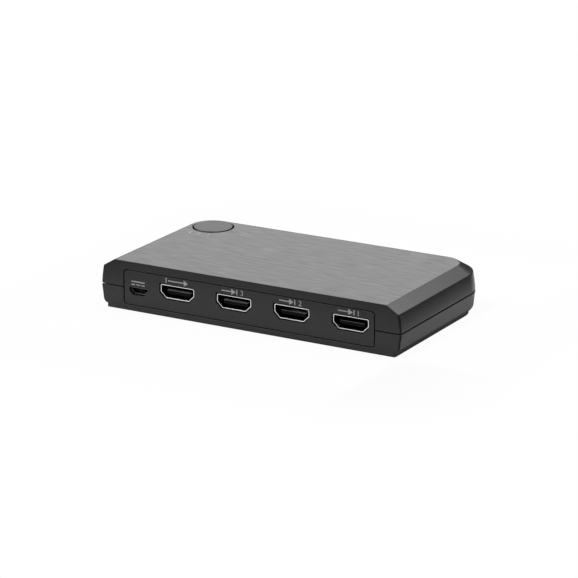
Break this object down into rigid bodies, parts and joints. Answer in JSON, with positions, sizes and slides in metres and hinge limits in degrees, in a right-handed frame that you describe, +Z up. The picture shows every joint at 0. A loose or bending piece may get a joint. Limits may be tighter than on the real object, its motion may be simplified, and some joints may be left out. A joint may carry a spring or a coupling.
{
  "type": "hdmi switch box",
  "caption": "Low dark box with sloping shoulders, brushed top plate and corner push button, with a row of wide video sockets; routes one chosen video source to a screen.",
  "frame": {"origin": "on the table, under the middle of the case's footprint", "axes": "+Z up, the sockets face -Y, +X to the right seen from the socket side"},
  "size_m": [0.13, 0.0716, 0.0206],
  "materials": {
    "case_plastic": "fine satin mould texture",
    "panel_plastic": "fine satin mould texture",
    "brushed_plate": "brushed along the width, grey anodised",
    "film": "adhesive film",
    "button_plastic": "satin",
    "board": "solder mask over glass fibre",
    "socket_metal": "nickel plated sheet",
    "insulator": "matt moulded",
    "contact": "gold flashed",
    "tinned": "tinned",
    "chip": "matt moulding compound",
    "can": "drawn can",
    "ceramic": "fired ceramic",
    "resistor": "glazed",
    "ferrite": "sintered",
    "light": "clear resin over phosphor",
    "guide": "clear moulded",
    "screw": "zinc plated",
    "rubber": "matt"
  },
  "bodies": {
    "case": {"top_shell": "case_plastic", "bottom_shell": "case_plastic", "port_panel": "panel_plastic", "top_plate": "brushed_plate", "plate_film": "film", "circuit_board": "board", "video_shell_1": "socket_metal", "video_shell_2": "socket_metal", "video_shell_3": "socket_metal", "video_shell_out": "socket_metal", "power_shell": "socket_metal", "video_insulator_1": "insulator", "video_insulator_2": "insulator", "video_insulator_3": "insulator", "video_insulator_out": "insulator", "power_insulator": "insulator", "switch_base": "insulator", "video_contacts_1": "contact", "video_contacts_2": "contact", "video_contacts_3": "contact", "video_contacts_out": "contact", "power_contacts": "contact", "switch_terminals": "tinned", "switch_dome": "tinned", "switch_cover": "tinned", "controller_leads": "tinned", "regulator_leads": "tinned", "crystal": "tinned", "selector_chip": "chip", "surge_arrays": "chip", "controller_chip": "chip", "regulator": "chip", "bulk_capacitors": "can", "ceramic_capacitors": "ceramic", "resistors": "resistor", "ferrite_bead": "ferrite", "indicator_lights": "light", "light_guide": "guide", "case_screws": "screw", "rubber_feet": "rubber"},
    "button": {"select_button": "button_plastic", "button_disc": "brushed_plate"},
    "plunger": {"switch_plunger": "button_plastic"}
  },
  "joints": [
    {"name": "button_press", "type": "slide", "parent": "case", "child": "button", "axis": [0, 0, -1], "range_m": [0, 0.0003], "stiffness_N_per_m": 3000},
    {"name": "plunger_press", "type": "slide", "parent": "case", "child": "plunger", "axis": [0, 0, -1], "range_m": [0, 0.0004], "deforming": ["switch_dome"]}
  ],
  "couplings": [
    {"joint": "plunger_press", "follows": "button_press", "ratio": 1}
  ]
}
